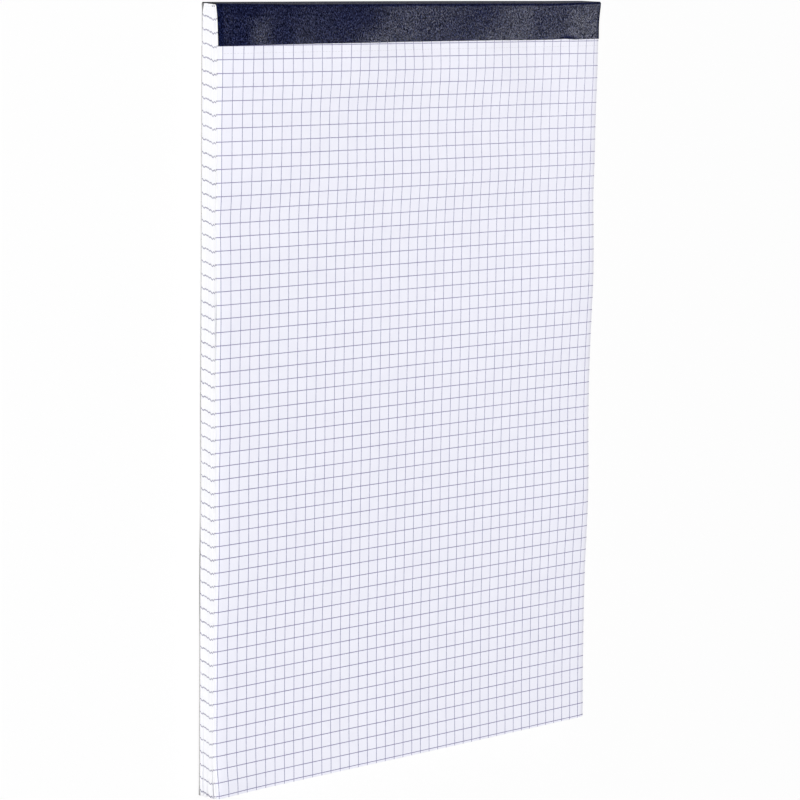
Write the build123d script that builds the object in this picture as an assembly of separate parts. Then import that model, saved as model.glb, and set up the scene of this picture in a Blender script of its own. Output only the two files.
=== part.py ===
from build123d import *
import math
import os

# An A4 squared notepad bound at its head, lying on its back with the front sheet up.
# Millimetres. X runs across the sheets, +Y points to the bound head, +Z points up.
# The origin is the centre of the back, on the surface that the pad lies on.
# Outlines in the side view are drawn as (place along the pad, height).

# Sheets and backing board
SHEET_WIDTH = 210.0
SHEET_LENGTH = 297.0
PAGES_THICKNESS = 8.5
BOARD_THICKNESS = 0.8

# Binding tape, one strip folded over the head
TAPE_THICKNESS = 0.3
FRONT_FLAP = 15.3
BACK_FLAP = 15.3

# Shape of the head, squeezed by the wire stitches and the tape
FRONT_SQUEEZE = 0.7
FRONT_ROUND_RADIUS = 1.2
BACK_BEVEL_HEIGHT = 0.8
BACK_BEVEL_LENGTH = 3.0
BOARD_ROUND_RADIUS = 0.4

# Wire stitches, bent from flat wire
WIRE_WIDTH = 0.8
WIRE_THICKNESS = 0.4
WIRE_BEND_RADIUS = 0.5
CROWN_LENGTH = 14.0
CLINCH_LENGTH = 5.0
STITCH_FROM_HEAD = 7.5
STITCH_SPACING = 105.0
WIRE_CLEARANCE = 0.05

# Printed squares
SQUARE = 5.0
LINE_WIDTH = 0.3
INK_THICKNESS = 0.05
LEFT_MARGIN = 1.6
FOOT_MARGIN = 1.2
PRINT_SKEW_DEGREES = 0.15

# How far each bundle of sheets was printed out of register, from the front sheet to the back one:
# along the pad, towards the head, and across it, to the right
BUNDLE_SHIFTS_ALONG = (0.0, -0.55, -0.1, 0.45, 0.35, 1.05)
BUNDLE_SHIFTS_ACROSS = (0.0, 0.3, -0.25, 0.1, 0.5, 0.2)

# Places that follow from the sizes above
FOOT = -(SHEET_LENGTH + TAPE_THICKNESS) / 2
HEAD = FOOT + SHEET_LENGTH
MIDDLE = (FOOT + HEAD) / 2
SIDE = SHEET_WIDTH / 2
TOP = BOARD_THICKNESS + PAGES_THICKNESS
FRONT_FLAP_EDGE = HEAD - FRONT_FLAP
BACK_FLAP_EDGE = HEAD - BACK_FLAP
STITCH_LINE = HEAD - STITCH_FROM_HEAD
STITCHES = (-STITCH_SPACING / 2, STITCH_SPACING / 2)


def slab(outline, near_side=-SIDE, depth=SHEET_WIDTH):
    """Solid from an outline in the side view, from the place near_side on X over a depth."""
    return extrude(Plane.YZ.offset(near_side) * outline, depth)


def head_wrap():
    """Line of the tape's inner face, from the front flap's edge round the head to the back flap's edge."""
    return FilletPolyline(
        (FRONT_FLAP_EDGE, TOP),
        (HEAD, TOP - FRONT_SQUEEZE),
        (HEAD, TAPE_THICKNESS),
        (BACK_FLAP_EDGE, TAPE_THICKNESS),
        radius=(FRONT_ROUND_RADIUS, BOARD_ROUND_RADIUS),
    )


def stack_outline():
    """Side view of sheets and board together, with the bed that the back flap is pressed into."""
    back_and_front = Polyline(
        (BACK_FLAP_EDGE, TAPE_THICKNESS), (BACK_FLAP_EDGE, 0), (FOOT, 0), (FOOT, TOP), (FRONT_FLAP_EDGE, TOP)
    )
    return make_face(head_wrap() + back_and_front)


def band(low, high):
    """Side view of everything between two heights."""
    return Pos(MIDDLE, (low + high) / 2) * Rectangle(2 * SHEET_LENGTH, high - low)


def pages_outline():
    """Side view of the sheets, bevelled at the back of the head where the stitches squeeze them."""
    bevel = Polyline(
        (HEAD - BACK_BEVEL_LENGTH, BOARD_THICKNESS),
        (HEAD, BOARD_THICKNESS),
        (HEAD, BOARD_THICKNESS + BACK_BEVEL_HEIGHT),
        close=True,
    )
    return stack_outline() - band(0, BOARD_THICKNESS) - make_face(bevel)


def board_outline():
    """Side view of the grey board, thinner where the tape is pressed into it."""
    return stack_outline() - band(BOARD_THICKNESS, TOP)


def binding_tape():
    """Strip of even thickness laid over the front, the head and the back."""
    return slab(make_face(offset(head_wrap(), TAPE_THICKNESS, side=Side.LEFT)))


def front_height(along):
    """Height of the front sheet, which slopes down under the flap towards the head."""
    under_flap = max(0.0, along - FRONT_FLAP_EDGE)
    return TOP - FRONT_SQUEEZE * under_flap / FRONT_FLAP


def crown_top():
    """Top of a stitch's crown, just under the lowest point of the sloping sheet across the wire."""
    return front_height(STITCH_LINE + WIRE_WIDTH / 2) - WIRE_CLEARANCE


def wire_stitch(across):
    """Staple of flat wire, with its ends clinched inwards against the board."""
    leg = (CROWN_LENGTH - WIRE_THICKNESS) / 2
    tip = leg - CLINCH_LENGTH
    crown = crown_top() - WIRE_THICKNESS / 2
    clinch = TAPE_THICKNESS + WIRE_THICKNESS / 2
    path = FilletPolyline(
        (-tip, clinch), (-leg, clinch), (-leg, crown), (leg, crown), (leg, clinch), (tip, clinch),
        radius=WIRE_BEND_RADIUS,
    )
    bent = Plane.XZ * trace(path, WIRE_THICKNESS)
    return Pos(across, STITCH_LINE, 0) * extrude(bent, WIRE_WIDTH / 2, both=True)


def stitch_beds():
    """Loose room for the wire stitches: beds for crowns and clinched ends, and slots for the legs."""
    long = CROWN_LENGTH + 2 * WIRE_CLEARANCE
    wide = WIRE_WIDTH + 2 * WIRE_CLEARANCE
    deep = WIRE_THICKNESS + WIRE_CLEARANCE
    upwards = (Align.CENTER, Align.CENTER, Align.MIN)
    downwards = (Align.CENTER, Align.CENTER, Align.MAX)
    beds = []
    for across in STITCHES:
        place = Pos(across, STITCH_LINE, 0)
        beds.append(place * Pos(0, 0, crown_top() - deep) * Box(long, wide, TOP, align=upwards))
        beds.append(place * Pos(0, 0, TAPE_THICKNESS + deep) * Box(long, wide, TOP, align=downwards))
        for side in (-1, 1):
            leg = side * (CROWN_LENGTH - WIRE_THICKNESS) / 2
            beds.append(place * Pos(leg, 0, 0) * Box(deep + WIRE_CLEARANCE, wide, TOP, align=upwards))
    return beds


def row_places(length):
    """Places along the print, from its middle, of the rules across the page up to a length of sheet."""
    rows = int((length - FOOT_MARGIN) / SQUARE) + 1
    return [FOOT_MARGIN + row * SQUARE - SHEET_LENGTH / 2 for row in range(rows)]


def column_places():
    """Places across the print, from its middle, of the rules that run down the page."""
    columns = int((SHEET_WIDTH - LEFT_MARGIN) / SQUARE) + 1
    return [LEFT_MARGIN + column * SQUARE - SIDE for column in range(columns)]


def printed(bars, low):
    """Ink bars turned by the skew of the print, cut off at the page's edges and at the front flap."""
    lowest = (Align.CENTER, Align.MIN)
    page = Pos(0, FOOT) * Rectangle(SHEET_WIDTH, SHEET_LENGTH - FRONT_FLAP, align=lowest)
    turned = Pos(0, MIDDLE) * Rot(0, 0, -PRINT_SKEW_DEGREES)
    return [extrude(Plane.XY.offset(low) * (page & turned * bar), INK_THICKNESS) for bar in bars]


def ruling_across():
    """Rules across the page, whose ink fills the top of the front sheet."""
    rows = row_places(SHEET_LENGTH - FRONT_FLAP)
    bars = [Pos(0, place) * Rectangle(2 * SHEET_WIDTH, LINE_WIDTH) for place in rows]
    return printed(bars, TOP - INK_THICKNESS)


def ruling_down():
    """Rules down the page, whose ink lies over the rules across it."""
    bars = [Pos(place, 0) * Rectangle(LINE_WIDTH, 2 * SHEET_LENGTH) for place in column_places()]
    return printed(bars, TOP)


def skew_shift(distance):
    """How far a printed line has moved sideways at a distance from the middle of the print."""
    return distance * math.sin(math.radians(PRINT_SKEW_DEGREES))


def stepped_mark(shifts):
    """One rule as it shows on a cut edge, (shift, height), stepping from bundle to bundle of sheets."""
    step = PAGES_THICKNESS / (len(shifts) - 1)
    near = [(shift - LINE_WIDTH / 2, TOP - step * number) for number, shift in enumerate(shifts)]
    far = [(shift + LINE_WIDTH, height) for shift, height in reversed(near)]
    return make_face(Polyline(*near, *far, close=True))


def ruling_at_sides():
    """Ends of the rules across the page, as marks on the two cut sides up to the head."""
    mark = stepped_mark(BUNDLE_SHIFTS_ALONG)
    outline = pages_outline()
    marks = []
    for near_side, side in ((-SIDE - INK_THICKNESS, -SIDE), (SIDE, SIDE)):
        for place in row_places(SHEET_LENGTH):
            along = MIDDLE + place - skew_shift(side)
            marks.append(slab(outline & Pos(along, 0) * mark, near_side, INK_THICKNESS))
    return marks


def ruling_at_foot():
    """Ends of the rules down the page, as marks on the cut foot."""
    mark = Plane.XZ.offset(-FOOT) * stepped_mark(BUNDLE_SHIFTS_ACROSS)
    across = [place - skew_shift(SHEET_LENGTH / 2) for place in column_places()]
    return [extrude(Pos(place, 0, 0) * mark, INK_THICKNESS) for place in across]


def main():
    stitches = [wire_stitch(across) for across in STITCHES]
    beds = stitch_beds() + stitches
    across = ruling_across()
    nodes = {
        "page_block": slab(pages_outline()) - across - beds,
        "backing_board": slab(board_outline()) - beds,
        "binding_tape": binding_tape(),
        "wire_stitch_left": stitches[0],
        "wire_stitch_right": stitches[1],
        "ruling_across": Compound(across),
        "ruling_down": Compound(ruling_down()),
        "ruling_at_sides": Compound(ruling_at_sides()),
        "ruling_at_foot": Compound(ruling_at_foot()),
    }
    os.makedirs("parts", exist_ok=True)
    for name, shape in nodes.items():
        export_step(shape, f"parts/{name}.step")


main()
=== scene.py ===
import math

import bpy
import numpy as np
from mathutils import Euler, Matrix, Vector

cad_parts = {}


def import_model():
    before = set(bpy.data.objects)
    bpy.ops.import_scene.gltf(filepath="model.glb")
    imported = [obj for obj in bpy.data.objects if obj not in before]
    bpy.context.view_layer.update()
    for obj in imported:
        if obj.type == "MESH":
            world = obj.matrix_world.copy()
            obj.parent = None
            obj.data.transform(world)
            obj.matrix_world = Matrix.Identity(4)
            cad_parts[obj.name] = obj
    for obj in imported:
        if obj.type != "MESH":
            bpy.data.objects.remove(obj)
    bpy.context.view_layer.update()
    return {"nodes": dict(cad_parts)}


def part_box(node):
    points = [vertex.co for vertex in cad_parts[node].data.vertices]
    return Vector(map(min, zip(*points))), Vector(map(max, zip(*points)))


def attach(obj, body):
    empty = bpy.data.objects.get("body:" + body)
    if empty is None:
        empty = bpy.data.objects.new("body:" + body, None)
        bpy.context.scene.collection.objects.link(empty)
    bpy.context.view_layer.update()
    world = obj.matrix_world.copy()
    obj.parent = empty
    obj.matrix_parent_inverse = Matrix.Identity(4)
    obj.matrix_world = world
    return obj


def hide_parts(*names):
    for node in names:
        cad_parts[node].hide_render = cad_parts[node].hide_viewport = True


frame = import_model()

# An A4 squared notepad, lying on its back with its bound head towards +Y.
# Shapes are worked out in millimetres and become metres where a mesh is made.
# A place on a sheet is (across, along): its distance from the sheet's left edge and from its foot.
MM = 0.001
SHARP_ANGLE = math.radians(35)

# Camera, at the direction from which the pad is seen in the photograph, in metres and degrees
CAMERA_PLACE = (-0.98979, 0.17658, 0.95779)
CAMERA_TURN = (-8.3649, -45.9018, 1.0653)
CLIP_RANGE = (0.01, 50)

# Its sensor and lens, in millimetres
SENSOR_WIDTH = 36.0
LENS = 159.08

# Floor, surroundings and lamps, in metres
FLOOR_ALBEDO = 0.9
FLOOR_WHITE_SHARE = 0.85
FLOOR_REACH = 6.0
HORIZON_STOP = 0.05
OVERHEAD_STOP = 0.2
OVERHEAD_LEVEL = 0.22
KEY_PLACE = (-4.5, 0.3, 6.3)
KEY_TARGET = (0, 0, 0)
KEY_SIZE = (4.4, 4.4)
KEY_LEVEL = 1.075
SHEEN_PLACE = (0.46, 0.13, 0.31)
SHEEN_TARGET = (0.05, 0.14, 0)
SHEEN_SIZE = (0.2, 0.1)
SHEEN_LEVEL = 1.4

# Front face of the pile, which slopes down under the flap, is rounded at the head and dips at the head's left
FRONT_SQUEEZE = 0.7
FRONT_ROUND_RADIUS = 0.7
HEAD_DIP = 0.6
HEAD_DIP_START = 0.55
HEAD_DIP_REACH = 40.0

# The front sheet droops at its side edges, and the sheets behind it follow its swells down to a depth
EDGE_DROOP = 0.4
EDGE_DROOP_REACH = 1.0
LOOSE_DEPTH = 6.0
SWELL_FADE = 1.5
WAVE_FADE = 2

# Back of the pile, bent away from the board at the head
BACK_BEVEL_HEIGHT = 0.8
BACK_BEVEL_LENGTH = 3.0

# Cut edges, which wander from sheet to sheet and from bundle to bundle; the left side spreads to the back
SHEETS = 80
SINGLE_SHEET_OUTSET = 0.03
SINGLE_SHEET_KNOTS = 18
BUNDLES = 14
BUNDLE_OUTSET = 0.04
BUNDLE_KNOTS = 30
SIDE_LEAN = 0.3
JUST_BEHIND = 0.001
EDGE_SEED = 4

# Binding tape and board
BOARD_ROUND_RADIUS = 0.4
BOARD_OVERHANG = 0.12
GLUE_GAP = 0.002
HEAD_SLACK = 0.15
BACK_FLAP_INSET = 0.22
BACK_FLAP_INSET_REACH = 3.0

# Spacing of the meshes' points, and how many lie on each bend of the tape
EDGE_STATIONS = (0.3, 0.65, 1.05, 1.6)
GRID_STEP = 3.0
ROUND_STEPS = 5
BOARD_STEP = 6.0
TAPE_COLUMN_STEP = 1.0
TAPE_ROW_STEP = 0.8
FRONT_BEND_POINTS = 9
HEAD_POINTS = 8
BACK_BEND_POINTS = 5
BACK_FLAP_POINTS = 8

# The head isn't quite square to the sides: how far it falls short at its right end
HEAD_SHORTFALL = 0.75

# It leans too: the back sheets reach a little too far, and the front ones end sooner, as (across, how much)
HEAD_OVERSHOOT = 0.2
HEAD_LEAN = ((0, 0.3), (40, 0.85), (185, 0.85), (210, 0.15))

# How far the sheets are cut short at the foot, as (across, how much), and where that dies out
FOOT_TRIM = ((0, 0.42), (100, 0.2), (210, 0.08))
FOOT_TRIM_REACH = 20.0

# Lower edge of the front flap, as (across, how far it lies towards the head)
FLAP_EDGE_BOW = (
    (0, 0), (25, 0.2), (50, 0.3), (100, 0.3), (150, 0.25),
    (168, 0.05), (181, 0.05), (189, 0.25), (195, -0.05), (210, 0.05),
)

# Print on the page; the rules down lie over the rules across
SQUARE = 5.0
LINE_WIDTH = 0.3
DOWN_LINE_WIDTH = 0.27
LEFT_MARGIN = 1.6
FOOT_MARGIN = 1.2
PRINT_SKEW = math.radians(0.15)
PRINT_SPREAD = 0.75
INK_RISE = 0.025
DOWN_INK_RISE = 0.03
INK_DEPTH = 0.03
PRINT_UNDER_FLAP = 1.0

# Marks that the print leaves on the cut edges, some of which are missing
MARK_WIDTH = 0.45
MARK_RISE = 0.02
MARK_SHARE = 0.94
MARKS_END = 0.5
SIDE_MARKS_SEED = 11
FOOT_MARKS_SEED = 12

# How far each bundle of sheets was printed out of register, as (depth in the pile, shift)
SHIFTS_ALONG = (
    (0, 0), (0.85, 0), (0.95, -0.65), (1.3, -0.6), (1.6, -0.25), (1.9, -0.35), (2.5, -0.7), (2.9, -0.6),
    (3.5, 0.05), (4.7, 0.05), (5.0, 0.5), (5.9, 0.55), (6.2, 0.9), (6.8, 0.8), (7.1, 0.55), (7.7, 0.75),
    (8.5, 1.4),
)
SHIFTS_ACROSS = ((0, 0), (1.7, 0.3), (3.4, -0.25), (5.1, 0.1), (6.8, 0.5), (8.5, 0.2))
SHIFT_JITTER = 0.16

# Perforation along which a sheet tears off, just below the flap; its slits are drawn as thin strips of paper
# in painted shade
TEAR_BELOW_FLAP = 2.7
SLIT_LENGTH = 1.0
SLIT_PITCH = 1.6
SLIT_WIDTH = 0.1
SLIT_RISE = 0.008

# Swells and hollows of the front sheets: middle across, middle along, reach across, reach along, height
SWELLS = (
    (66, 286, 36, 20, 1.75),
    (142, 286, 32, 20, 1.5),
    (208, 275, 26, 24, 1.2),
    (30, 250, 28, 22, 0.5),
    (140, 232, 75, 9, 0.55),
    (204, 188, 30, 26, 1.35),
    (206, 96, 30, 24, 0.95),
    (84, 200, 45, 16, -0.35),
    (12, 216, 40, 8, -0.5),
    (112, 130, 55, 80, -0.4),
    (5, 140, 34, 16, 0.45),
    (0, 92, 40, 22, 0.55),
    (5, 180, 20, 14, 0.35),
    (0, 0, 16, 9, 1.25),
    (100, 0, 130, 13, 0.65),
    (186, 276, 7, 5, -0.4),
    (56, 269, 42, 8, 0.55),
    (138, 269, 42, 9, 0.65),
    (98, 274, 16, 6, 0.4),
    (158, 262, 10, 12, 0.35),
    (208, 242, 22, 22, 0.5),
    (60, 240, 34, 16, 0.3),
    (110, 225, 40, 10, 0.25),
    (160, 160, 45, 26, 0.35),
    (70, 124, 26, 14, 0.2),
    (105, 55, 110, 14, -0.2),
    (97, 20, 14, 14, 0.4),
    (206, 45, 24, 30, -0.2),
    (0, 252, 10, 18, -0.3),
)

# Where the bound head itself stands up, and a dent in the flap's edge, given like the swells
HEAD_CURLS = ((214, 302, 26, 12, 3.6),)
DENT = (190, 280.6, 5.5, 2.4, -0.75)

# Small waves of the flap and the sheet under it, as (middle across, height)
FLAP_WAVES = (
    (4, -0.05), (15, 0.75), (26, -0.15), (37, 0.2), (48, -0.3), (59, -0.25), (70, 0.15),
    (81, 0.15), (92, -0.4), (103, -0.45), (114, -0.3), (125, -0.25), (136, -0.05), (147, 0.05),
    (158, -0.4), (169, -0.35), (180, 0.5), (191, 0.9), (202, 0.25),
)
WAVES_ALONG = 287.0
WAVE_REACH = (8.0, 14.0)

# How the board's left edge bends up off the floor, given like the swells
BOARD_BENDS = ((0, 30, 60, 60, 0.8), (0, 170, 70, 95, 0.35), (0, 118, 70, 22, 0.35), (0, 5, 40, 14, 0.3))

# How far below the flap those bends have their full height
BEND_END = 30.0

# Gaps between loose sheets: middle across, middle along, reach across, reach along, sheets in front, width.
# Each gap has another number of sheets in front.
GAPS = (
    (0, 178, 12, 9, 3, 0.5),
    (0, 1, 12, 7, 10, 0.6),
    (0, 0, 9, 5, 41, 0.25),
    (0, 8, 9, 16, 62, 0.25),
    (210, 0, 9, 8, 34, 0.25),
    (210, 240, 9, 16, 12, 0.2),
)

# How far a gap cuts in for its width, and the depth of sheets that make room for it
GAP_INSET = 5.0
GAP_SETTLING = 1.0

# The two colours that each finish varies between, as (red, green, blue)
PAPER_COLOURS = ((0.832, 0.832, 0.925), (0.856, 0.856, 0.945))
CUT_PAPER_COLOURS = ((0.735, 0.735, 0.75), (0.805, 0.805, 0.815))
# Painted shade, for the paper in the perforation's cuts and deep in the gaps between sheets
PAINTED_SHADE_COLOURS = ((0.50, 0.50, 0.55), (0.66, 0.66, 0.72))
INK_COLOURS = ((0.165, 0.16, 0.31), (0.285, 0.275, 0.43))
CUT_INK_COLOURS = ((0.20, 0.195, 0.28), (0.33, 0.325, 0.42))
# Tape from its pebble tops to its hollows: partly the grain's own tone, partly painted highlight and painted
# shade
TAPE_COLOURS = ((0.028, 0.036, 0.120), (0.003, 0.006, 0.036))
# Painted sheen on the tape where it goes over the head
HEAD_SHEEN_COLOURS = ((0.030, 0.032, 0.048), (0.072, 0.074, 0.092))
BOARD_COLOURS = ((0.468, 0.460, 0.458), (0.578, 0.570, 0.567))
WIRE_COLOURS = ((0.50, 0.50, 0.50), (0.66, 0.66, 0.66))

# Grains per millimetre across, along and up, and the height of relief that they give a finish
PAPER_CLOUDS = (0.12, 0.12, 0.12)
PAPER_FIBRES = (3.0, 3.0, 3.0)
PAPER_RELIEF = 0.012
SHEET_EDGES = (0.02, 0.02, 5.0)
# Grain of the painted shade in the cuts and gaps
PAINTED_SHADE_GRAIN = (4.0, 4.0, 4.0)
INK_PATCHES = (1.6, 1.6, 1.6)
LEATHER_GRAIN = (2.4, 1.5, 2.1)
LEATHER_PEBBLES = (2.0, 1.5, 1.8)
LEATHER_SLANT = math.radians(35)
LEATHER_RELIEF = 0.07
BOARD_FIBRES = (0.9, 2.4, 6.0)
BOARD_SPECKS = (2.5, 2.5, 2.5)
BOARD_RELIEF = 0.05
WIRE_GRAIN = (0.4, 12.0, 12.0)
WIRE_RELIEF = 0.01

# Darker bands along the board, as (share of the length from the foot, brightness that is left)
BOARD_DARKENING = (
    (0.0, 0.45), (0.02, 0.85), (0.20, 0.88), (0.24, 0.5), (0.31, 0.45), (0.36, 1.0), (0.43, 0.98),
    (0.48, 0.8), (0.56, 0.85), (0.64, 1.0), (0.95, 1.0), (0.98, 0.5),
)


def corners_of(node):
    """Lowest and highest corner of a node, in millimetres."""
    low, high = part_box(node)
    return np.array(low) / MM, np.array(high) / MM


(LEFT, FOOT, BACK), (RIGHT, HEAD, TOP) = corners_of("page_block")
TAPE_FOOT = corners_of("binding_tape")[0][1]
TAPE_THICKNESS = corners_of("binding_tape")[1][1] - HEAD
WIDTH = RIGHT - LEFT
LENGTH = HEAD - FOOT
PILE = TOP - BACK
SHEET = PILE / SHEETS
FLAP_EDGE = TAPE_FOOT - FOOT
FLAP = LENGTH - FLAP_EDGE
ROUND_END = TOP - FRONT_SQUEEZE - FRONT_ROUND_RADIUS


def bell(across, along, middle_across, middle_along, reach_across, reach_along):
    """Bell curve over the sheet, 1 at its middle."""
    sideways = (across - middle_across) / reach_across
    lengthways = (along - middle_along) / reach_along
    return np.exp(-sideways ** 2 - lengthways ** 2)


def under_flap(along):
    """0 where the front sheet is free, rising to 1 at the head."""
    return np.clip((along - FLAP_EDGE) / FLAP, 0, 1)


def heaped(across, along, swells):
    """Height of several swells together."""
    return sum(height * bell(across, along, *place) for *place, height in swells)


def lift(across, along):
    """How far the front sheet stands above a flat pile; the binding holds it down at the head."""
    free = heaped(across, along, SWELLS) * (1 - under_flap(along) ** SWELL_FADE)
    from_side = np.minimum(across, WIDTH - across) / EDGE_DROOP_REACH
    waves = [(middle, WAVES_ALONG, *WAVE_REACH, height) for middle, height in FLAP_WAVES]
    waved = heaped(across, along, waves + [DENT]) * (1 - under_flap(along) ** WAVE_FADE)
    return free + waved + heaped(across, along, HEAD_CURLS) - EDGE_DROOP * np.exp(-from_side ** 2)


def squared(across, along, depth=0):
    """Place along the pad once the head has its slant and leans back into the pile."""
    lean = np.interp(across, *zip(*HEAD_LEAN)) * np.clip(1 - depth / PILE, 0, 1)
    return along + (HEAD_OVERSHOOT - HEAD_SHORTFALL * (across / WIDTH) ** 2 - lean) * under_flap(along)


def foot_cut(across, along):
    """How much sooner than their full length the sheets end at the foot, fading up the pad."""
    return np.interp(across, *zip(*FOOT_TRIM)) * np.clip(1 - along / FOOT_TRIM_REACH, 0, 1)


def trimmed(across, along, depth=0):
    """Place along the pad once the foot is trimmed too."""
    return squared(across, along, depth) + foot_cut(across, along)


def front_height(across, along):
    """Height of a flat front sheet, which slopes, dips and is rounded towards the head."""
    past_round = np.clip(along - (LENGTH - FRONT_ROUND_RADIUS), 0, FRONT_ROUND_RADIUS)
    rounding = FRONT_ROUND_RADIUS - np.sqrt(FRONT_ROUND_RADIUS ** 2 - past_round ** 2)
    dip = HEAD_DIP * np.clip((under_flap(along) - HEAD_DIP_START) / (1 - HEAD_DIP_START), 0, 1) ** 2
    return TOP - FRONT_SQUEEZE * under_flap(along) - dip * np.exp(-(across / HEAD_DIP_REACH) ** 2) - rounding


def board_bend(across, along):
    """How far the board stands above the floor; the tape keeps it flat at the head."""
    return heaped(across, along, BOARD_BENDS) * np.clip((FLAP_EDGE - along) / BEND_END, 0, 1)


def back_height(across, along):
    """Height of the back of the last sheet, which the stitches bend away from the board at the head."""
    bevel = BACK_BEVEL_HEIGHT * np.clip(1 - (LENGTH - along) / BACK_BEVEL_LENGTH, 0, 1)
    return BACK + board_bend(across, along) + bevel


def gap_widths(across, along):
    """Each gap between sheets, as (sheets in front of it, its width at a place on the sheet)."""
    return [(in_front, width * bell(across, along, *place)) for *place, in_front, width in GAPS]


def height_in_pile(across, along, depth):
    """Height of the sheet face that lies at a depth in a flat pile, 0 at the front."""
    share = 1 - depth / PILE
    back = back_height(across, along)
    flat = back + share * (front_height(across, along) - back)
    looseness = np.clip(1 - depth / LOOSE_DEPTH, 0, 1) ** 2
    settled = 0
    for in_front, width in gap_widths(across, along):
        behind = depth - in_front * SHEET
        pushed = np.where(behind > 0, np.clip(1 - behind / GAP_SETTLING, 0, 1), 0)
        settled = settled + pushed * width
    return flat + looseness * lift(across, along) - settled


def front_surface(across, along):
    """Height of the front sheet as it lies."""
    return front_height(across, along) + lift(across, along)


def add_piece(name, points, faces, slot, replaced, material, smooth=None):
    """Object from points in millimetres, which rides on the part and stands for some nodes."""
    mesh = bpy.data.meshes.new(name)
    mesh.from_pydata((np.asarray(points) * MM).tolist(), [], faces)
    mesh.polygons.foreach_set("use_smooth", np.zeros(len(faces), bool) if smooth is None else smooth)
    mesh.materials.append(material)
    mesh.set_sharp_from_angle(angle=SHARP_ANGLE)
    mesh.update()
    piece = bpy.data.objects.new(name, mesh)
    bpy.context.scene.collection.objects.link(piece)
    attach(piece, "root")
    if replaced:
        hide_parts(*replaced)
    return piece


def grid_faces(rows, columns):
    """Quads of a grid of points stored row by row."""
    faces = []
    for row in range(rows - 1):
        for column in range(columns - 1):
            corner = row * columns + column
            faces.append((corner, corner + 1, corner + columns + 1, corner + columns))
    return faces


def rim_of(numbers):
    """Numbers of the points round a grid, anticlockwise from its first point."""
    foot = list(numbers[0])
    right = list(numbers[1:, -1])
    head = list(numbers[-1, -2::-1])
    left = list(numbers[-2:0:-1, 0])
    return [int(number) for number in foot + right + head + left]


def band_faces(lower, upper):
    """Quads between two closed rings of points, given by their numbers."""
    count = len(lower)
    return [
        (lower[place], lower[(place + 1) % count], upper[(place + 1) % count], upper[place])
        for place in range(count)
    ]


def wander(rng, rows, columns, row_knots, column_knots):
    """Smooth random table from -1 to 1, whose last column meets its first."""
    knots = rng.uniform(-1, 1, (row_knots, column_knots))
    knots[:, -1] = knots[:, 0]
    across_knots = np.linspace(0, column_knots - 1, columns)
    along_knots = np.linspace(0, row_knots - 1, rows)
    wide = np.array([np.interp(across_knots, range(column_knots), line) for line in knots])
    return np.array([np.interp(along_knots, range(row_knots), line) for line in wide.T]).T


class Pile:
    """The sheets' cut edges: rings of points round the pile, two for each sheet."""

    def __init__(self):
        self.rng = np.random.default_rng(EDGE_SEED)
        middle = np.linspace(GRID_STEP, WIDTH - GRID_STEP, round(WIDTH / GRID_STEP) - 1)
        edge = np.array(EDGE_STATIONS)
        free = np.linspace(0, FLAP_EDGE, round(FLAP_EDGE / GRID_STEP) + 1)
        held = np.linspace(FLAP_EDGE, LENGTH - FRONT_ROUND_RADIUS, round(FLAP / GRID_STEP) + 1)[1:]
        angles = np.linspace(0, math.pi / 2, ROUND_STEPS + 1)[1:]
        rounded = LENGTH - FRONT_ROUND_RADIUS * (1 - np.sin(angles))
        self.across = np.concatenate([[0], edge, middle, WIDTH - edge[::-1], [WIDTH]])
        self.along = np.concatenate([free, held, rounded])
        self.ring = self.ring_places()
        self.place = self.distance_round()
        self.outset = self.sheet_outsets()

    def ring_places(self):
        """Places round the sheet, anticlockwise from the left foot corner, with the way out at each."""
        left_to_right = [(across, 0, 0, -1) for across in self.across[:-1]]
        foot_to_head = [(WIDTH, along, 1, 0) for along in self.along[:-1]]
        right_to_left = [(across, LENGTH, 0, 0) for across in self.across[:0:-1]]
        head_to_foot = [(0, along, -1, 0) for along in self.along[:0:-1]]
        return np.array(left_to_right + foot_to_head + right_to_left + head_to_foot, float)

    def distance_round(self):
        """Distance of each place of the ring from its start."""
        steps = np.abs(np.diff(self.ring[:, :2], axis=0)).sum(axis=1)
        return np.concatenate([[0], np.cumsum(steps)])

    def sheet_outsets(self):
        """How far each sheet's cut edge stands out at each place of the ring."""
        count = len(self.ring)
        single = wander(self.rng, SHEETS, count, SHEETS, SINGLE_SHEET_KNOTS)
        bundled = wander(self.rng, SHEETS, count, BUNDLES, BUNDLE_KNOTS)
        outset = SINGLE_SHEET_OUTSET * single + BUNDLE_OUTSET * bundled
        outset += SIDE_LEAN * np.linspace(0, 1, SHEETS)[:, None] * (self.ring[:, 2] < 0)
        outset[0] = 0
        return outset

    def surface(self, across, along):
        """Height of the front sheet's mesh at a place, between the points of its grid."""
        column = np.clip(np.searchsorted(self.across, across, side="right") - 1, 0, len(self.across) - 2)
        row = np.clip(np.searchsorted(self.along, along, side="right") - 1, 0, len(self.along) - 2)
        near, far = self.across[column], self.across[column + 1]
        low, high = self.along[row], self.along[row + 1]
        sideways = (across - near) / (far - near)
        lengthways = (along - low) / (high - low)
        foot_side = (1 - sideways) * front_surface(near, low) + sideways * front_surface(far, low)
        head_side = (1 - sideways) * front_surface(near, high) + sideways * front_surface(far, high)
        return (1 - lengthways) * foot_side + lengthways * head_side

    def outset_at(self, sheet, place):
        """How far a sheet's edge stands out at a distance round the ring."""
        return np.interp(place, self.place, self.outset[sheet])

    def ring_points(self, depth, outset):
        """Points of one ring at a depth in the pile, moved out by a distance."""
        across, along, out_x, out_y = self.ring.T
        height = height_in_pile(across, along, depth)
        along = trimmed(across, along, depth)
        return np.stack([LEFT + across + out_x * outset, FOOT + along + out_y * outset, height], axis=1)


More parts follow.
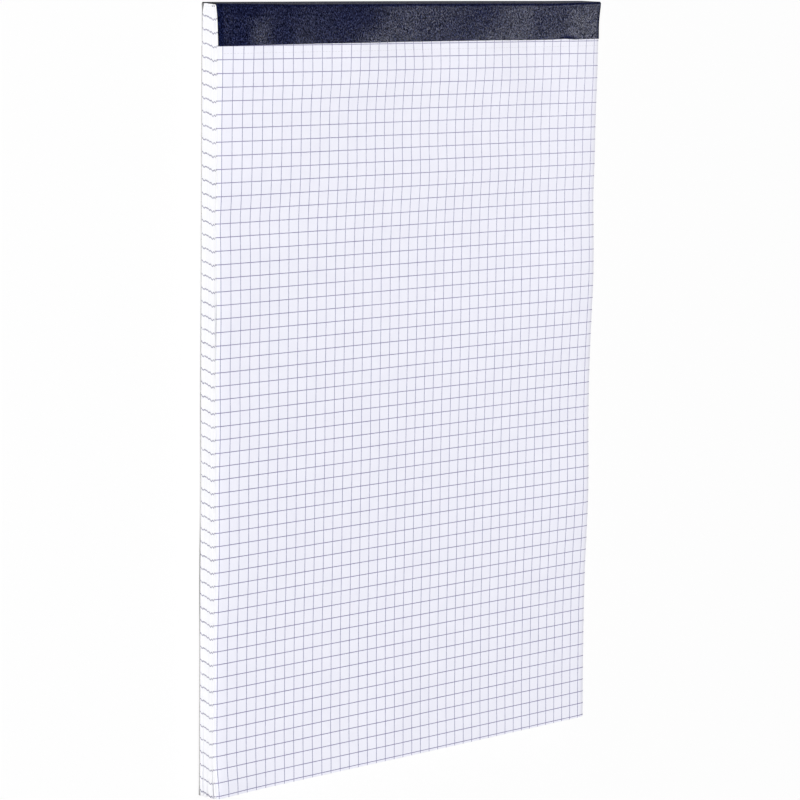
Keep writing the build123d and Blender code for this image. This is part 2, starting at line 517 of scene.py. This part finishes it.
def page_rings(pile):
    """Rings of points down the pile, as (depth, outset, whether the faces above it lie in a gap and get
    painted shade).
    """
    gaps = dict(gap_widths(pile.ring[:, 0], pile.ring[:, 1]))
    rings = []
    for sheet in range(SHEETS):
        outset = pile.outset[sheet]
        back = (sheet + 1) * SHEET
        if sheet > 0:
            rings.append((sheet * SHEET + JUST_BEHIND, outset, sheet in gaps))
        rings.append((back, outset, False))
        if sheet + 1 in gaps:
            inner = -GAP_INSET * gaps[sheet + 1]
            rings += [(back, inner, True), (back + JUST_BEHIND, inner, True)]
    return rings


def page_mesh(pile):
    """Points and faces of the sheets as one closed body, which faces are smooth and which lie in gaps, where
    they get painted shade.
    """
    columns, rows = len(pile.across), len(pile.along)
    across, along = np.meshgrid(pile.across, pile.along)
    height = front_surface(across, along)
    top = np.stack([LEFT + across, FOOT + trimmed(across, along), height], axis=2).reshape(-1, 3)
    points = [top]
    faces = grid_faces(rows, columns)
    smooth = [True] * len(faces)
    painted_gap_shade = [False] * len(faces)
    used = len(top)
    rim = rim_of(np.arange(used).reshape(rows, columns))
    upper = rim
    for depth, outset, shaded in page_rings(pile):
        ring = pile.ring_points(depth, outset)
        lower = list(range(used, used + len(ring)))
        points.append(ring)
        used += len(ring)
        faces += band_faces(lower, upper)
        painted_gap_shade += [shaded] * len(ring)
        upper = lower
    inner_across, inner_along = across[1:-1, 1:-1], along[1:-1, 1:-1]
    height = back_height(inner_across, inner_along)
    inner_along = trimmed(inner_across, inner_along, PILE)
    points.append(np.stack([LEFT + inner_across, FOOT + inner_along, height], axis=2).reshape(-1, 3))
    numbers = np.zeros((rows, columns), int)
    numbers[1:-1, 1:-1] = used + np.arange((rows - 2) * (columns - 2)).reshape(rows - 2, columns - 2)
    for number, place in zip(upper, rim):
        numbers.flat[place] = number
    for face in grid_faces(rows, columns):
        faces.append(tuple(int(numbers.flat[corner]) for corner in reversed(face)))
    smooth += [False] * (len(faces) - len(smooth))
    painted_gap_shade += [False] * (len(faces) - len(painted_gap_shade))
    return np.concatenate(points), faces, smooth, painted_gap_shade


def bar(centres, sideways, width, low, high):
    """Points and faces of a bar of even width along a line of points, from low to high about it."""
    centres = np.asarray(centres, float)
    sideways = np.asarray(sideways, float) * width / 2
    up = np.array((0, 0, 1.0))
    corners = [-sideways + low * up, sideways + low * up, sideways + high * up, -sideways + high * up]
    points = np.stack([centres + corner for corner in corners], axis=1).reshape(-1, 3)
    faces = [(0, 1, 2, 3)]
    last = 4 * (len(centres) - 1)
    for start in range(0, last, 4):
        near = [start + corner for corner in (3, 2, 1, 0)]
        faces += band_faces(near, [number + 4 for number in near])
    faces.append((last + 3, last + 2, last + 1, last))
    return points, faces


def joined(parts):
    """Points and faces of many bodies in one mesh."""
    points, faces, used = [], [], 0
    for part_points, part_faces in parts:
        points.append(part_points)
        faces += [tuple(number + used for number in face) for face in part_faces]
        used += len(part_points)
    return np.concatenate(points), faces


def row_at(row, across):
    """Place along the sheet of a rule across it, which the print's skew and its spread at the left move."""
    spread = PRINT_SPREAD * max(0.0, row / LENGTH - 0.5) * (1 - across / WIDTH)
    return row - (across - WIDTH / 2) * math.tan(PRINT_SKEW) + spread


def column_at(column, along):
    """Place across the sheet of a rule down it."""
    return column + (along - LENGTH / 2) * math.tan(PRINT_SKEW)


def on_sheet(pile, across, along):
    """Points of a rule on the front sheet, whose mesh is drawn in a little at the foot."""
    height = pile.surface(across, along - foot_cut(across, along))
    return np.stack([LEFT + across, FOOT + along, height], axis=1)


def row_places(length):
    """Places along the sheet of the rules across it, up to a length."""
    return np.arange(FOOT_MARGIN, length, SQUARE)


def column_places():
    """Places across the sheet of the rules that run down it."""
    return np.arange(LEFT_MARGIN, WIDTH, SQUARE)


def rules_across(pile):
    """Rules across the page, which follow the front sheet."""
    parts = []
    for row in row_places(FLAP_EDGE + PRINT_UNDER_FLAP):
        centres = on_sheet(pile, pile.across, row_at(row, pile.across))
        parts.append(bar(centres, (0, 1, 0), LINE_WIDTH, -INK_DEPTH, INK_RISE))
    return joined(parts)


def rules_down(pile):
    """Rules down the page, from its trimmed foot to just under the flap."""
    stations = np.append(pile.along[pile.along <= FLAP_EDGE], FLAP_EDGE + PRINT_UNDER_FLAP)
    parts = []
    for column in column_places():
        centres = on_sheet(pile, column_at(column, stations), np.maximum(stations, foot_cut(column, 0)))
        parts.append(bar(centres, (-1, 0, 0), DOWN_LINE_WIDTH, -INK_DEPTH, DOWN_INK_RISE))
    return joined(parts)


def tear_slits(pile):
    """Fine slits in a row across the front sheet, where it tears off, drawn as thin strips of painted shade.
    """
    parts = []
    for start in np.arange(SLIT_PITCH / 2, WIDTH - SLIT_LENGTH, SLIT_PITCH):
        across = np.array((start, start + SLIT_LENGTH))
        along = np.full(2, FLAP_EDGE - TEAR_BELOW_FLAP)
        centres = on_sheet(pile, across, along)
        parts.append(bar(centres, (0, 1, 0), SLIT_WIDTH, -INK_DEPTH, SLIT_RISE))
    return joined(parts)


def box_part(low, high):
    """Points and faces of a small upright box."""
    (x0, y0, z0), (x1, y1, z1) = low, high
    points = np.array([
        (x0, y0, z0), (x1, y0, z0), (x1, y1, z0), (x0, y1, z0),
        (x0, y0, z1), (x1, y0, z1), (x1, y1, z1), (x0, y1, z1),
    ])
    faces = [(3, 2, 1, 0), (4, 5, 6, 7), (0, 1, 5, 4), (1, 2, 6, 5), (2, 3, 7, 6), (3, 0, 4, 7)]
    return points, faces


def sheet_shifts(rng, shifts):
    """How far each sheet's print is out of register, from the front sheet to the back one."""
    depths, values = zip(*shifts)
    middles = (np.arange(SHEETS) + 0.5) * SHEET
    return np.interp(middles, depths, values) + rng.uniform(-SHIFT_JITTER, SHIFT_JITTER, SHEETS)


def marks_at_sides(pile):
    """Ends of the rules across the page, where they reach the cut sides of the sheets."""
    rng = np.random.default_rng(SIDE_MARKS_SEED)
    shifts = sheet_shifts(rng, SHIFTS_ALONG)
    parts = []
    for across, out in ((0, -1), (WIDTH, 1)):
        for row in row_places(LENGTH - FRONT_ROUND_RADIUS):
            for sheet in range(SHEETS):
                along = row_at(row, across) + shifts[sheet]
                if rng.random() > MARK_SHARE or along > LENGTH - MARKS_END:
                    continue
                along = max(along, foot_cut(across, 0) + MARK_WIDTH / 2)
                from_start = WIDTH + along if out > 0 else 2 * WIDTH + 2 * LENGTH - along
                edge = LEFT + across + out * pile.outset_at(sheet, from_start)
                upper = height_in_pile(across, along, sheet * SHEET + JUST_BEHIND)
                lower = height_in_pile(across, along, (sheet + 1) * SHEET)
                near, far = sorted((edge - out * INK_DEPTH, edge + out * MARK_RISE))
                middle = FOOT + squared(across, along, sheet * SHEET)
                start, end = middle - MARK_WIDTH / 2, middle + MARK_WIDTH / 2
                parts.append(box_part((near, start, lower), (far, end, upper)))
    return joined(parts)


def marks_at_foot(pile):
    """Ends of the rules down the page, where they reach the cut foot of the sheets."""
    rng = np.random.default_rng(FOOT_MARKS_SEED)
    shifts = sheet_shifts(rng, SHIFTS_ACROSS)
    parts = []
    for column in column_places():
        for sheet in range(SHEETS):
            if rng.random() > MARK_SHARE:
                continue
            across = column_at(column, 0) + shifts[sheet]
            edge = FOOT + foot_cut(across, 0) - pile.outset_at(sheet, across)
            upper = height_in_pile(across, 0, sheet * SHEET + JUST_BEHIND)
            lower = height_in_pile(across, 0, (sheet + 1) * SHEET)
            start, end = LEFT + across - MARK_WIDTH / 2, LEFT + across + MARK_WIDTH / 2
            parts.append(box_part((start, edge - MARK_RISE, lower), (end, edge + INK_DEPTH, upper)))
    return joined(parts)


def board_outline():
    """Side view of the board as (along, height), round from its foot, with the back flap's bed."""
    low = TAPE_THICKNESS + BOARD_ROUND_RADIUS
    under = [(along, 0) for along in np.linspace(0, FLAP_EDGE, round(FLAP_EDGE / BOARD_STEP) + 1)]
    bed = [(FLAP_EDGE, TAPE_THICKNESS)]
    corner = [
        (LENGTH - BOARD_ROUND_RADIUS * (1 - math.sin(angle)), low - BOARD_ROUND_RADIUS * math.cos(angle))
        for angle in np.linspace(0, math.pi / 2, ROUND_STEPS)
    ]
    over = [(along, BACK) for along in np.linspace(LENGTH, 0, round(LENGTH / BOARD_STEP) + 1)]
    return np.array(under + bed + corner + over)


def board_mesh():
    """Points and faces of the board, which stands out and bends up a little at its left edge."""
    outline = board_outline()
    across = np.linspace(0, WIDTH, round(WIDTH / BOARD_STEP) + 1)
    rows, columns = len(outline), len(across)
    x, along = np.meshgrid(across, outline[:, 0])
    height = outline[:, 1:2] + board_bend(x, along)
    x[:, 0] -= BOARD_OVERHANG
    points = np.stack([LEFT + x, FOOT + trimmed(x, along, PILE), height], axis=2).reshape(-1, 3)
    faces = []
    for row in range(rows):
        near, far = row * columns, (row + 1) % rows * columns
        for place in range(columns - 1):
            faces.append((near + place, far + place, far + place + 1, near + place + 1))
    faces.append(tuple(row * columns for row in reversed(range(rows))))
    faces.append(tuple(row * columns + columns - 1 for row in range(rows)))
    return points, faces


def wrap_profile():
    """Inner face of the tape in the side view, from the front flap's edge to the back flap's edge.

    Each row is (along, height, way out along, way out up). On the front, TOP stands for the sheet's face.
    """
    slope = FRONT_SQUEEZE / FLAP
    front_stations = np.linspace(FLAP_EDGE, LENGTH - FRONT_ROUND_RADIUS, round(FLAP / TAPE_ROW_STEP) + 1)
    rows = [(along, TOP, slope, 1) for along in front_stations]
    for angle in np.linspace(0, math.pi / 2, FRONT_BEND_POINTS)[1:]:
        along = LENGTH - FRONT_ROUND_RADIUS * (1 - math.sin(angle))
        rows.append((along, TOP, math.sin(angle), math.cos(angle)))
    back_corner = TAPE_THICKNESS + BOARD_ROUND_RADIUS
    for height in np.linspace(ROUND_END, back_corner, HEAD_POINTS)[1:]:
        rows.append((LENGTH, height, 1, 0))
    for angle in np.linspace(0, math.pi / 2, BACK_BEND_POINTS)[1:]:
        along = LENGTH - BOARD_ROUND_RADIUS * (1 - math.cos(angle))
        height = back_corner - BOARD_ROUND_RADIUS * math.sin(angle)
        rows.append((along, height, math.cos(angle), -math.sin(angle)))
    for along in np.linspace(LENGTH - BOARD_ROUND_RADIUS, FLAP_EDGE, BACK_FLAP_POINTS)[1:]:
        rows.append((along, TAPE_THICKNESS, 0, -1))
    profile = np.array(rows, float)
    profile[:, 2:] /= np.linalg.norm(profile[:, 2:], axis=1)[:, None]
    return profile


def tape_mesh():
    """Points and faces of the tape folded over the head."""
    profile = wrap_profile()
    across = np.linspace(0, WIDTH, round(WIDTH / TAPE_COLUMN_STEP) + 1)
    line_along, line_height, out_along, out_up = (profile[:, place:place + 1] for place in range(4))
    along = np.repeat(line_along, len(across), axis=1)
    on_front = (out_up > 0) * 1.0
    height = line_height + on_front * (front_surface(across[None, :], along) - TOP)
    depth = np.clip(ROUND_END - line_height, 0, PILE) * (out_up <= 0)
    bow = np.interp(across, *zip(*FLAP_EDGE_BOW))[None, :]
    along = squared(across[None, :], along, depth) + on_front * bow * (1 - under_flap(along)) ** 2
    slack = HEAD_SLACK * out_along ** 2
    from_head = np.clip((LENGTH - line_along) / BACK_FLAP_INSET_REACH, 0, 1)
    inset = BACK_FLAP_INSET * (out_up < 0) * from_head
    x = LEFT + np.clip(across[None, :], inset, WIDTH - inset)
    layers = []
    for offset in (TAPE_THICKNESS + slack, GLUE_GAP + slack):
        y = FOOT + along + offset * out_along
        z = height + offset * out_up
        layers.append(np.stack([x, y, z], axis=2).reshape(-1, 3))
    rows, columns = along.shape
    outer = grid_faces(rows, columns)
    shift = rows * columns
    inner = [tuple(number + shift for number in reversed(face)) for face in outer]
    rim = rim_of(np.arange(shift).reshape(rows, columns))
    sealed = band_faces([number + shift for number in rim], rim)
    faces = outer + inner + sealed
    smooth = [True] * (len(outer) + len(inner)) + [False] * len(sealed)
    return np.concatenate(layers), faces, smooth


class Shader:
    """A node material under construction: nodes are added and linked by name."""

    def __init__(self, name):
        self.material = bpy.data.materials.new(name)
        self.material.use_nodes = True
        self.nodes = self.material.node_tree.nodes
        self.links = self.material.node_tree.links
        self.surface = self.nodes["Principled BSDF"]
        self.place = self.add("ShaderNodeTexCoord").outputs["Object"]

    def add(self, kind, **settings):
        """New node with some settings."""
        node = self.nodes.new(kind)
        for setting, value in settings.items():
            setattr(node, setting, value)
        return node

    def scaled_place(self, scale, turn=(0, 0, 0)):
        """The place in millimetres, stretched and turned."""
        mapping = self.add("ShaderNodeMapping")
        mapping.inputs["Scale"].default_value = [value / MM for value in scale]
        mapping.inputs["Rotation"].default_value = turn
        self.links.new(self.place, mapping.inputs["Vector"])
        return mapping.outputs["Vector"]

    def noise(self, scale, detail=2, roughness=0.5, turn=(0, 0, 0)):
        """Noise with so many grains per millimetre along each axis."""
        node = self.add("ShaderNodeTexNoise")
        node.inputs["Scale"].default_value = 1
        node.inputs["Detail"].default_value = detail
        node.inputs["Roughness"].default_value = roughness
        self.links.new(self.scaled_place(scale, turn), node.inputs["Vector"])
        return node.outputs["Fac"]

    def ramp(self, value, *stops):
        """Colour from a value, through stops of (value, colour)."""
        node = self.add("ShaderNodeValToRGB")
        elements = node.color_ramp.elements
        while len(elements) < len(stops):
            elements.new(0.5)
        for element, (position, colour) in zip(elements, stops):
            element.position = position
            element.color = (*colour, 1)
        self.links.new(value, node.inputs["Fac"])
        return node.outputs["Color"]

    def shades(self, value, colours, start=0.3, end=0.7):
        """Colour from a value, from the first of two colours to the second."""
        return self.ramp(value, (start, colours[0]), (end, colours[1]))

    def multiply(self, first, second):
        """Product of two colours."""
        node = self.add("ShaderNodeMix", data_type="RGBA", blend_type="MULTIPLY")
        node.inputs["Factor"].default_value = 1
        self.links.new(first, node.inputs["A"])
        self.links.new(second, node.inputs["B"])
        return node.outputs["Result"]

    def blend(self, share, first, second):
        """Second colour over the first, by a share."""
        node = self.add("ShaderNodeMix", data_type="RGBA")
        self.links.new(share, node.inputs["Factor"])
        self.links.new(first, node.inputs["A"])
        self.links.new(second, node.inputs["B"])
        return node.outputs["Result"]

    def facing(self, axis):
        """How squarely a face looks along an axis, from 0 to 1."""
        parts = self.add("ShaderNodeSeparateXYZ")
        self.links.new(self.add("ShaderNodeNewGeometry").outputs["Normal"], parts.inputs["Vector"])
        size = self.add("ShaderNodeMath", operation="ABSOLUTE")
        self.links.new(parts.outputs[axis], size.inputs[0])
        return size.outputs[0]

    def along_pad(self):
        """Place along the pad, from 0 at its foot to 1 at its head."""
        parts = self.add("ShaderNodeSeparateXYZ")
        self.links.new(self.place, parts.inputs["Vector"])
        share = self.add("ShaderNodeMapRange")
        share.inputs["From Min"].default_value = FOOT * MM
        share.inputs["From Max"].default_value = HEAD * MM
        self.links.new(parts.outputs["Y"], share.inputs["Value"])
        return share.outputs["Result"]

    def bump(self, pattern, height, before=None):
        """Bump of a height in millimetres, over an earlier bump."""
        node = self.add("ShaderNodeBump")
        node.inputs["Distance"].default_value = height * MM
        node.inputs["Strength"].default_value = 1
        self.links.new(pattern, node.inputs["Height"])
        if before is not None:
            self.links.new(before, node.inputs["Normal"])
        return node.outputs["Normal"]

    def finish(self, colour, normal=None, **values):
        """Plug the colour and the normal into the surface and set its plain values."""
        self.links.new(colour, self.surface.inputs["Base Color"])
        if normal is not None:
            self.links.new(normal, self.surface.inputs["Normal"])
        for name, value in values.items():
            self.surface.inputs[name.replace("_", " ")].default_value = value
        return self.material


def grey(level):
    """Colour without a hue."""
    return (level, level, level)


def paper_material():
    """Smooth bluish white writing paper, with faint clouds and fine fibres, and whiter at its cut edges."""
    shader = Shader("paper")
    clouds = shader.noise(PAPER_CLOUDS, detail=3)
    fibres = shader.noise(PAPER_FIBRES)
    sheet_lines = shader.noise(SHEET_EDGES, detail=3, roughness=0.7)
    face = shader.shades(clouds, PAPER_COLOURS)
    edge = shader.shades(sheet_lines, CUT_PAPER_COLOURS, end=0.6)
    grain = shader.shades(fibres, (grey(0.975), grey(1.0)), 0.25, 0.6)
    flat = shader.shades(shader.facing("Z"), (grey(0.0), grey(1.0)), 0.85, 0.99)
    colour = shader.multiply(shader.blend(flat, edge, face), grain)
    normal = shader.bump(fibres, PAPER_RELIEF)
    return shader.finish(colour, normal, Roughness=0.75, Specular_IOR_Level=0.15)


def painted_shade_material():
    """Painted shade: paper coloured darker for the shade in the cuts of the perforation and deep in the gaps
    between sheets.
    """
    shader = Shader("painted_shade_paper")
    colour = shader.shades(shader.noise(PAINTED_SHADE_GRAIN), PAINTED_SHADE_COLOURS)
    return shader.finish(colour, Roughness=0.9, Specular_IOR_Level=0.2)


def ink_material(name, colours):
    """Violet grey printing ink, unevenly taken up by the paper."""
    shader = Shader(name)
    colour = shader.shades(shader.noise(INK_PATCHES, detail=3), colours, end=0.75)
    return shader.finish(colour, Roughness=0.6, Specular_IOR_Level=0.3)


def tape_material():
    """Dark blue binding tape with an embossed leather grain; its pebble tops are painted lighter and its
    grooves darker, partly the grain's own tone and partly painted highlight and painted shade, and it is
    painted grey where it goes over the head as a painted sheen.
    """
    shader = Shader("tape")
    turn = (0, 0, LEATHER_SLANT)
    grain = shader.noise(LEATHER_GRAIN, roughness=0.6, turn=turn)
    pebbles = shader.add("ShaderNodeTexVoronoi", feature="SMOOTH_F1")
    pebbles.inputs["Scale"].default_value = 1
    shader.links.new(shader.scaled_place(LEATHER_PEBBLES, turn), pebbles.inputs["Vector"])
    # Pebble tops painted lighter and hollows darker, partly as painted highlight and painted shade
    base = shader.shades(pebbles.outputs["Distance"], TAPE_COLOURS, 0.1, 0.5)
    # Grooves of the grain painted darker, as painted shade
    painted_groove_shade = shader.shades(grain, (grey(0.2), grey(1.0)), 0.42, 0.57)
    cut_ends = shader.shades(shader.facing("X"), (grey(1.0), grey(0.15)), 0.5, 0.9)
    grained = shader.multiply(shader.multiply(base, painted_groove_shade), cut_ends)
    # The face over the head is painted grey, as a painted sheen
    at_head = shader.shades(shader.facing("Y"), (grey(0.0), grey(1.0)), 0.85, 0.97)
    painted_head_sheen = shader.shades(grain, HEAD_SHEEN_COLOURS, 0.4, 0.6)
    colour = shader.blend(at_head, grained, painted_head_sheen)
    coarse = shader.bump(pebbles.outputs["Distance"], -LEATHER_RELIEF)
    normal = shader.bump(grain, LEATHER_RELIEF, before=coarse)
    shine = shader.shades(grain, (grey(0.01), grey(0.155)), 0.44, 0.57)
    shader.links.new(shine, shader.surface.inputs["Coat Weight"])
    shader.links.new(normal, shader.surface.inputs["Coat Normal"])
    return shader.finish(colour, normal, Roughness=0.3, Specular_IOR_Level=0.0, Coat_Roughness=0.3)


def board_material():
    """Grey chipboard pressed from waste paper, with fibres and dark specks, and darker in bands along its
    length.
    """
    shader = Shader("board")
    fibres = shader.noise(BOARD_FIBRES, detail=4, roughness=0.7)
    base = shader.shades(fibres, BOARD_COLOURS)
    dark = shader.shades(shader.noise(BOARD_SPECKS, detail=1), (grey(0.6), grey(1.0)), 0.28, 0.36)
    darkened = shader.ramp(shader.along_pad(), *[(share, grey(level)) for share, level in BOARD_DARKENING])
    colour = shader.multiply(shader.multiply(base, dark), darkened)
    normal = shader.bump(fibres, BOARD_RELIEF)
    return shader.finish(colour, normal, Roughness=0.9, Specular_IOR_Level=0.2)


def wire_material():
    """Bright drawn steel wire."""
    shader = Shader("wire")
    drawn = shader.noise(WIRE_GRAIN)
    colour = shader.shades(drawn, WIRE_COLOURS)
    normal = shader.bump(drawn, WIRE_RELIEF)
    return shader.finish(colour, normal, Metallic=1.0, Roughness=0.35)


def floor():
    """Large pale floor that looks white to the camera and keeps the pad's soft shadow."""
    material = bpy.data.materials.new("floor")
    material.use_nodes = True
    nodes, links = material.node_tree.nodes, material.node_tree.links
    lit = nodes["Principled BSDF"]
    lit.inputs["Base Color"].default_value = (*grey(FLOOR_ALBEDO), 1)
    lit.inputs["Roughness"].default_value = 1.0
    lit.inputs["Specular IOR Level"].default_value = 0.0
    path = nodes.new("ShaderNodeLightPath")
    shown = path.outputs["Is Camera Ray"]
    for ray in ("Is Glossy Ray", "Is Transmission Ray"):
        either = nodes.new("ShaderNodeMath")
        either.operation = "MAXIMUM"
        links.new(shown, either.inputs[0])
        links.new(path.outputs[ray], either.inputs[1])
        shown = either.outputs[0]
    share = nodes.new("ShaderNodeMath")
    share.operation = "MULTIPLY"
    share.inputs[1].default_value = FLOOR_WHITE_SHARE
    links.new(shown, share.inputs[0])
    white = nodes.new("ShaderNodeEmission")
    mix = nodes.new("ShaderNodeMixShader")
    links.new(share.outputs[0], mix.inputs[0])
    links.new(lit.outputs[0], mix.inputs[1])
    links.new(white.outputs[0], mix.inputs[2])
    links.new(mix.outputs[0], nodes["Material Output"].inputs["Surface"])
    mesh = bpy.data.meshes.new("floor")
    corners = [(x * FLOOR_REACH, y * FLOOR_REACH, 0) for x, y in ((-1, -1), (1, -1), (1, 1), (-1, 1))]
    mesh.from_pydata(corners, [], [(0, 1, 2, 3)])
    mesh.materials.append(material)
    plane = bpy.data.objects.new("floor", mesh)
    bpy.context.scene.collection.objects.link(plane)


def world():
    """White surroundings, brightest at the horizon and dimmer overhead."""
    surroundings = bpy.data.worlds.new("surroundings")
    surroundings.use_nodes = True
    bpy.context.scene.world = surroundings
    nodes, links = surroundings.node_tree.nodes, surroundings.node_tree.links
    parts = nodes.new("ShaderNodeSeparateXYZ")
    links.new(nodes.new("ShaderNodeTexCoord").outputs["Generated"], parts.inputs["Vector"])
    ramp = nodes.new("ShaderNodeValToRGB")
    horizon, overhead = ramp.color_ramp.elements
    horizon.position = HORIZON_STOP
    horizon.color = (*grey(1), 1)
    overhead.position = OVERHEAD_STOP
    overhead.color = (*grey(OVERHEAD_LEVEL), 1)
    links.new(parts.outputs["Z"], ramp.inputs["Fac"])
    links.new(ramp.outputs["Color"], nodes["Background"].inputs["Color"])


def lamp(name, place, target, size, level, only_sheen=False):
    """Soft lamp, in metres, that lights a surface facing it at the target to a level.

    A lamp for the sheen alone shows in glossy reflections and lights nothing else.
    """
    way = Vector(place) - Vector(target)
    data = bpy.data.lights.new(name, "AREA")
    data.shape = "RECTANGLE"
    data.size, data.size_y = size
    data.energy = level * math.pi ** 2 * way.length_squared
    lamp_object = bpy.data.objects.new(name, data)
    bpy.context.scene.collection.objects.link(lamp_object)
    lamp_object.location = place
    lamp_object.rotation_euler = way.to_track_quat("Z", "Y").to_euler()
    lamp_object.visible_camera = False
    lamp_object.visible_diffuse = not only_sheen


def camera():
    """Camera at the photograph's viewing angle."""
    data = bpy.data.cameras.new("camera")
    data.sensor_width = SENSOR_WIDTH
    data.lens = LENS
    data.clip_start, data.clip_end = CLIP_RANGE
    view = bpy.data.objects.new("camera", data)
    bpy.context.scene.collection.objects.link(view)
    view.location = CAMERA_PLACE
    view.rotation_euler = Euler([math.radians(angle) for angle in CAMERA_TURN], "XYZ")
    bpy.context.scene.camera = view


def dress(node, material):
    """Give a node that stays its finish."""
    mesh = frame["nodes"][node].data
    mesh.materials.clear()
    mesh.materials.append(material)


def main():
    """Dress the pad and set its stage."""
    paper = paper_material()
    ink = ink_material("ink", INK_COLOURS)
    edge_ink = ink_material("ink_on_cut_edges", CUT_INK_COLOURS)
    # Paper in painted shade, for the perforation's cuts and the gaps between sheets
    shade_paper = painted_shade_material()
    pile = Pile()
    points, faces, smooth, painted_gap_shade = page_mesh(pile)
    pages = add_piece("pages", points, faces, "paper", ["page_block"], paper, smooth)
    # Faces deep in the gaps between sheets are coloured with painted shade
    pages.data.materials.append(shade_paper)
    pages.data.polygons.foreach_set("material_index", np.array(painted_gap_shade, np.int32))
    add_piece("rules_across", *rules_across(pile), "ink", ["ruling_across"], ink)
    add_piece("rules_down", *rules_down(pile), "ink", ["ruling_down"], ink)
    add_piece("rule_ends_at_sides", *marks_at_sides(pile), "ink", ["ruling_at_sides"], edge_ink)
    add_piece("rule_ends_at_foot", *marks_at_foot(pile), "ink", ["ruling_at_foot"], edge_ink)
    # The perforation's slits are strips of painted shade
    add_piece("tear_line", *tear_slits(pile), "paper", [], shade_paper)
    add_piece("board", *board_mesh(), "board", ["backing_board"], board_material())
    points, faces, smooth = tape_mesh()
    add_piece("tape", points, faces, "tape", ["binding_tape"], tape_material(), smooth)
    wire = wire_material()
    dress("wire_stitch_left", wire)
    dress("wire_stitch_right", wire)
    floor()
    world()
    lamp("key", KEY_PLACE, KEY_TARGET, KEY_SIZE, KEY_LEVEL)
    lamp("sheen", SHEEN_PLACE, SHEEN_TARGET, SHEEN_SIZE, SHEEN_LEVEL, only_sheen=True)
    camera()
    bpy.context.scene.view_settings.view_transform = "Standard"


main()
